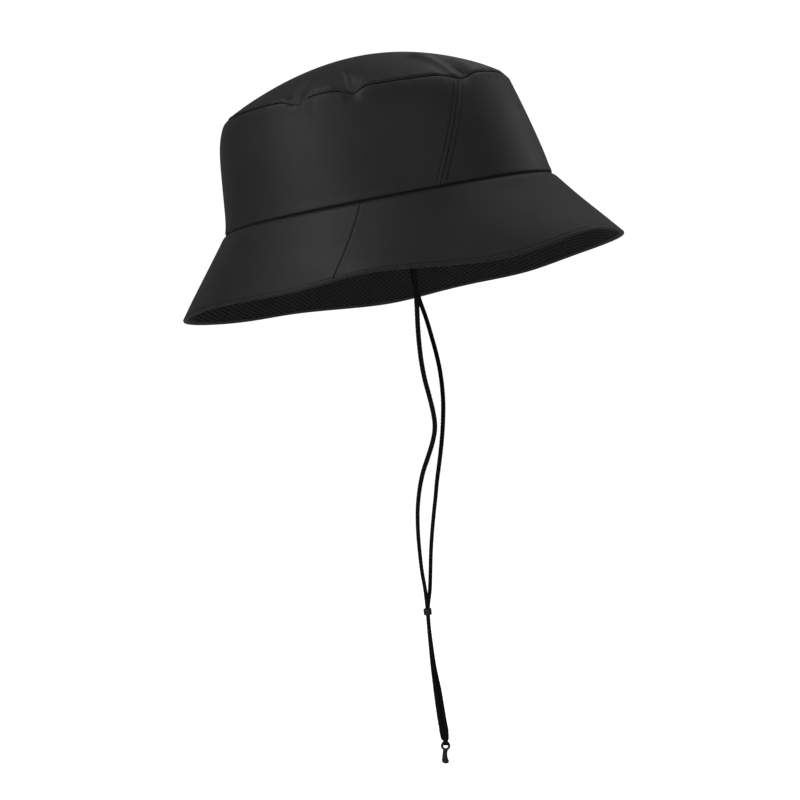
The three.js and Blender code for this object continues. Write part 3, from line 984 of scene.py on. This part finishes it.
def add_sweatband(material):
    width = (BAND_HIGH - BAND_LOW) * SIDE_LENGTH
    heights = spacing(width, 0.4 * MM, 1.3 * MM, 4 * MM, 4 * MM) / SIDE_LENGTH + BAND_LOW
    angles, heights = round_grid(380, heights)
    low = (heights - BAND_LOW) * SIDE_LENGTH
    high = (BAND_HIGH - heights) * SIDE_LENGTH
    inner_relief = 0.35 * MM * between(low, 5 * MM, high, 5 * MM)
    for row in (low, high):
        inner_relief = inner_relief - 0.2 * MM * bell(row - BAND_STITCH_AT, 0.5 * MM)
    outer = under(crown_side, angles, heights, 1.75 * MM)
    thickness = 1.0 * MM + inner_relief
    piece = cloth_piece("padded_sweatband", outer, thickness, material, True)
    finish_sheet(piece, "sweatband")


# The mesh under the brim is cut on the straight from a flat ring, which a cone of this spread
# opens out to, so that the grain turns as it runs round the hat.
MESH_PITCH = 2.5 * MM
MESH_HOLE = 0.60
MESH_DEPTH = 1.45 * MM
MESH_REACH = (1.2 * MM, 57.5 * MM)
FLAT_SPREAD = 0.617
FLAT_EDGE_RADIUS = 0.214


def mesh_turn(flat_x, flat_y):
    """Angle and distance from the edge of a point on the mesh's flat cut, with the seam at pi."""
    along = FLAT_EDGE_RADIUS - np.hypot(flat_x, flat_y)
    return np.arctan2(flat_y, flat_x) / FLAT_SPREAD, along


def mesh_place(flat_x, flat_y):
    """The place round the hat of a point on the flat cut, kept inside the cut."""
    turn, along = mesh_turn(flat_x, flat_y)
    return np.clip(turn, -math.pi, math.pi) + math.pi, np.clip(along, *MESH_REACH)


def inside_mesh(flat_x, flat_y):
    turn, along = mesh_turn(flat_x, flat_y)
    return (along > MESH_REACH[0]) & (along < MESH_REACH[1]) & (np.abs(turn) < math.pi)


def add_brim_mesh(material):
    """A knitted mesh with real holes. Each cell is a square frame with a hole and its walls."""
    reach = int(FLAT_EDGE_RADIUS / MESH_PITCH) + 1
    cells = np.arange(-reach, reach)
    cell_x, cell_y = [values.ravel() for values in np.meshgrid(cells, cells)]
    corners = np.array([(0, 0), (1, 0), (1, 1), (0, 1)])
    x = (cell_x[:, None] + corners[:, 0]) * MESH_PITCH
    y = (cell_y[:, None] + corners[:, 1]) * MESH_PITCH
    kept = inside_mesh(x, y).any(axis=1)
    cell_x, cell_y, x, y = cell_x[kept], cell_y[kept], x[kept], y[kept]
    knots = np.stack([cell_x, cell_y], axis=-1)[:, None] + corners
    lattice, outer_ids = np.unique(knots.reshape(-1, 2), axis=0, return_inverse=True)
    outer_ids = outer_ids.reshape(-1, 4)
    inner_x = mix(x.mean(axis=1, keepdims=True), x, MESH_HOLE)
    inner_y = mix(y.mean(axis=1, keepdims=True), y, MESH_HOLE)
    count, inner_count = len(lattice), inner_x.size
    flat_x = np.concatenate([lattice[:, 0] * MESH_PITCH, inner_x.ravel(), inner_x.ravel()])
    flat_y = np.concatenate([lattice[:, 1] * MESH_PITCH, inner_y.ravel(), inner_y.ravel()])
    depth = np.concatenate([
        np.full(count, MESH_DEPTH + 0.42 * MM),
        np.full(inner_count, MESH_DEPTH + 0.26 * MM),
        np.full(inner_count, MESH_DEPTH - 0.20 * MM),
    ])
    angle, along = mesh_place(flat_x, flat_y)
    points = under(brim, angle, along / BRIM_SLANT, depth)
    front_ids = count + np.arange(inner_count).reshape(-1, 4)
    back_ids = front_ids + inner_count
    faces = []
    for k in range(4):
        n = (k + 1) % 4
        for near, far in ((outer_ids, front_ids), (front_ids, back_ids)):
            quads = [near[:, k], far[:, k], far[:, n], near[:, n]]
            faces += np.stack(quads, axis=1).tolist()
    uv = np.stack([flat_x, flat_y], axis=1)
    piece = add_mesh("knitted_brim_mesh", points, faces, material, uv)
    finish_sheet(piece, "brim_underside")


TAB_LOW, TAB_HIGH = -0.156, 0.14
TAB_ANGLE, TAB_HALF_WIDTH = 83, 3.6


def add_tab(name, side, material):
    """The folded tape that holds one end of the cord, full where the cord lies inside it."""
    shares = np.linspace(-1, 1, 25)
    heights = np.linspace(TAB_LOW, TAB_HIGH, 30)
    across, heights = np.meshgrid(shares, heights)
    angles = np.radians(side * (TAB_ANGLE + TAB_HALF_WIDTH * across * side))
    low = (heights - TAB_LOW) * SIDE_LENGTH
    full = bell(across, 0.42) * (1 - smooth_step(6 * MM, 14 * MM, low))
    outer = under(crown_side, angles, heights, 3.25 * MM - 0.35 * MM * full)
    piece = cloth_piece(name, outer, 1.5 * MM + 1.3 * MM * full, material)
    stand_for(piece, "hat", name.replace("taped_", "cord_"))


# ---- stitching


def stitch_body(start, end, outward, radius):
    """One stitch: a short thread that dives into the cloth at both ends."""
    sides = 6
    rings = (
        (0.0, 0.35, -0.9), (0.12, 0.85, -0.25), (0.5, 1.0, 0.15), (0.88, 0.85, -0.25), (1.0, 0.35, -0.9),
    )
    forward = unit(end - start)
    side = np.cross(outward, forward)
    points = []
    for share, size, lift in rings:
        centre = mix(start, end, share) + outward * radius * lift
        for k in range(sides):
            turn = 2 * math.pi * k / sides
            points.append(centre + (side * math.cos(turn) + outward * math.sin(turn)) * radius * size)
    return points, tube_faces(len(rings), sides)


def stitch_row(line, outward, pitch, radius):
    run = np.concatenate([[0], np.cumsum(np.linalg.norm(np.diff(line, axis=0), axis=1))])
    bodies = []
    for k in range(int(run[-1] / pitch)):
        ends = [(k + 0.12) * pitch, (k + 0.88) * pitch]
        start, end = [np.array([np.interp(s, run, line[:, i]) for i in range(3)]) for s in ends]
        away = np.array([np.interp(sum(ends) / 2, run, outward[:, i]) for i in range(3)])
        bodies.append(stitch_body(start, end, unit(away), radius))
    return bodies


def add_stitching(name, rows, material):
    points, faces = together(*[body for row in rows for body in row])
    piece = add_mesh(name, points, faces, material)
    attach(piece, "hat")


def outward_of(surface, angle, height):
    return unit(under(surface, angle, height, 0) - under(surface, angle, height, 1 * MM))


def crown_seam_rows():
    """Two rows on each side of the hat, one each side of the seam up the crown."""
    rows = []
    heights = np.linspace(0.01, 0.975, 120)
    for side in (1, -1):
        for offset in (-CROWN_STITCH_AT, CROWN_STITCH_AT):
            half_turn = np.radians(mix(CROWN_SEAM[0], CROWN_SEAM[1], heights))
            for _ in range(3):
                too_far = past_seam(half_turn, heights, CROWN_SEAM) - offset
                half_turn = half_turn - too_far / side_radius(half_turn)
            angles = side * half_turn
            outward = outward_of(crown_side, angles, heights)
            rows.append(stitch_row(side_skin(angles, heights), outward, 2.3 * MM, 0.26 * MM))
    return rows


def tip_seam_rows():
    """The thread of the top seam lies deep between its two turned edges."""
    angles = np.linspace(0, 2 * math.pi, 1400)
    seam = crown_side(angles, np.ones_like(angles))
    line = tipped(seam - seam_normal(angles) * TIP_THREAD_DEPTH)
    outward = unit(tipped(seam) - line)
    return [stitch_row(line, outward, 2.2 * MM, 0.25 * MM)]


def brim_edge_rows():
    angles = np.linspace(0, 2 * math.pi, 1200)
    along = np.full_like(angles, EDGE_STITCH_AT)
    outward = outward_of(brim, angles, along / BRIM_SLANT)
    return [stitch_row(brim_skin(angles, along), outward, 2.4 * MM, 0.2 * MM)]


def sweatband_rows():
    rows = []
    angles = np.linspace(2 * math.pi, 0, 900)
    inset = BAND_STITCH_AT / SIDE_LENGTH
    for height in (BAND_LOW + inset, BAND_HIGH - inset):
        heights = np.full_like(angles, height)
        line = under(crown_side, angles, heights, 2.62 * MM)
        outward = unit(line - under(crown_side, angles, heights, 1.62 * MM))
        rows.append(stitch_row(line, outward, 2.8 * MM, 0.2 * MM))
    return rows


# ---- the hat


def add_hat():
    shell = shell_material()
    mesh_cloth = mesh_material()
    add_crown_side("sewn_crown_side_front", True, (0.350, 0.066), shell)
    add_crown_side("sewn_crown_side_back", False, (0.216, 0.066), shell)
    add_crown_tip(shell)
    add_brim_top("sewn_brim_top_front", True, (0.125, 0.330), shell)
    add_brim_top("sewn_brim_top_back", False, (0.170, 0.420), shell)
    add_ring(
        "stiff_brim_interlining", "brim_interlining", brim, (0.8 * MM, 1.1 * MM),
        (0.035, 0.985), interlining_material(),
    )
    add_brim_mesh(mesh_cloth)
    add_lining(mesh_cloth)
    add_sweatband(sweatband_material())
    tape = tape_material()
    add_tab("taped_tab_right", 1, tape)
    add_tab("taped_tab_left", -1, tape)
    thread = thread_and_pit_shade_material()
    add_stitching("crown_seam_stitching", crown_seam_rows(), thread)
    add_stitching("tip_seam_stitching", tip_seam_rows(), thread)
    add_stitching("brim_edge_stitching", brim_edge_rows(), thread)
    add_stitching("sweatband_stitching", sweatband_rows(), thread)


# ---- floor and light

FLOOR_HEIGHT = cad_box[0][2] - 0.012


def add_floor():
    material, tree, shader = new_material("floor_white", (0.85, 0.85, 0.85), 0.9, 0.1)
    shader.inputs["Emission Color"].default_value = (1, 1, 1, 1)
    shader.inputs["Emission Strength"].default_value = 0.95
    tree.links.new(
        tinted(tree, noise(tree, object_place(tree), 3), (0.84, 0.84, 0.84), (0.86, 0.86, 0.86)),
        shader.inputs["Base Color"],
    )
    half = 8.0
    corners = ((-half, -half), (half, -half), (half, half), (-half, half))
    points = [(x, y, FLOOR_HEIGHT) for x, y in corners]
    floor = add_mesh("floor", points, [[0, 1, 2, 3]], material)
    floor.visible_glossy = False


HAT_MIDDLE = (0, 0, 0.02)

# Each light's place, size and power. All of them point at the middle of the hat.
LIGHTS = (
    ("left_softbox", (-1.15, -1.0, 0.55), (0.7, 1.0), 9),
    ("upper_left_softbox", (-0.75, -0.1, 1.25), (0.5, 0.5), 4),
    ("front_fill", (0.7, -1.6, 0.9), (1.4, 1.0), 4.6),
    ("back_right_softbox", (1.3, 0.65, 0.6), (0.6, 1.1), 3.3),
    ("back_top_softbox", (0.3, 1.05, 0.95), (0.7, 0.4), 0.45),
    ("top_softbox", (0.42, 0.35, 1.25), (0.8, 0.7), 2.1),
)


def area_light(name, place, size, power):
    data = bpy.data.lights.new(name, "AREA")
    data.shape = "RECTANGLE"
    data.size, data.size_y = size
    data.energy = power
    light = bpy.data.objects.new(name, data)
    light.location = place
    light.rotation_euler = (Vector(HAT_MIDDLE) - Vector(place)).to_track_quat("-Z", "Y").to_euler()
    bpy.context.collection.objects.link(light)


def add_lights():
    for light in LIGHTS:
        area_light(*light)
    world = bpy.data.worlds.new("world")
    bpy.context.scene.world = world
    world.use_nodes = True
    tree = world.node_tree
    lit = tree.nodes["Background"]
    seen = node(tree, "ShaderNodeBackground")
    for background, strength in ((lit, 0.08), (seen, 1.05)):
        background.inputs["Color"].default_value = (1, 1, 1, 1)
        background.inputs["Strength"].default_value = strength
    path = node(tree, "ShaderNodeLightPath")
    choose = node(tree, "ShaderNodeMixShader")
    tree.links.new(path.outputs["Is Camera Ray"], choose.inputs[0])
    tree.links.new(lit.outputs[0], choose.inputs[1])
    tree.links.new(seen.outputs[0], choose.inputs[2])
    tree.links.new(choose.outputs[0], tree.nodes["World Output"].inputs["Surface"])
    bpy.context.scene.view_settings.view_transform = "Standard"


add_camera()
add_chin_cord()
add_hat()
add_floor()
add_lights()

def plain(box):
    return [list(map(float, corner)) for corner in box]
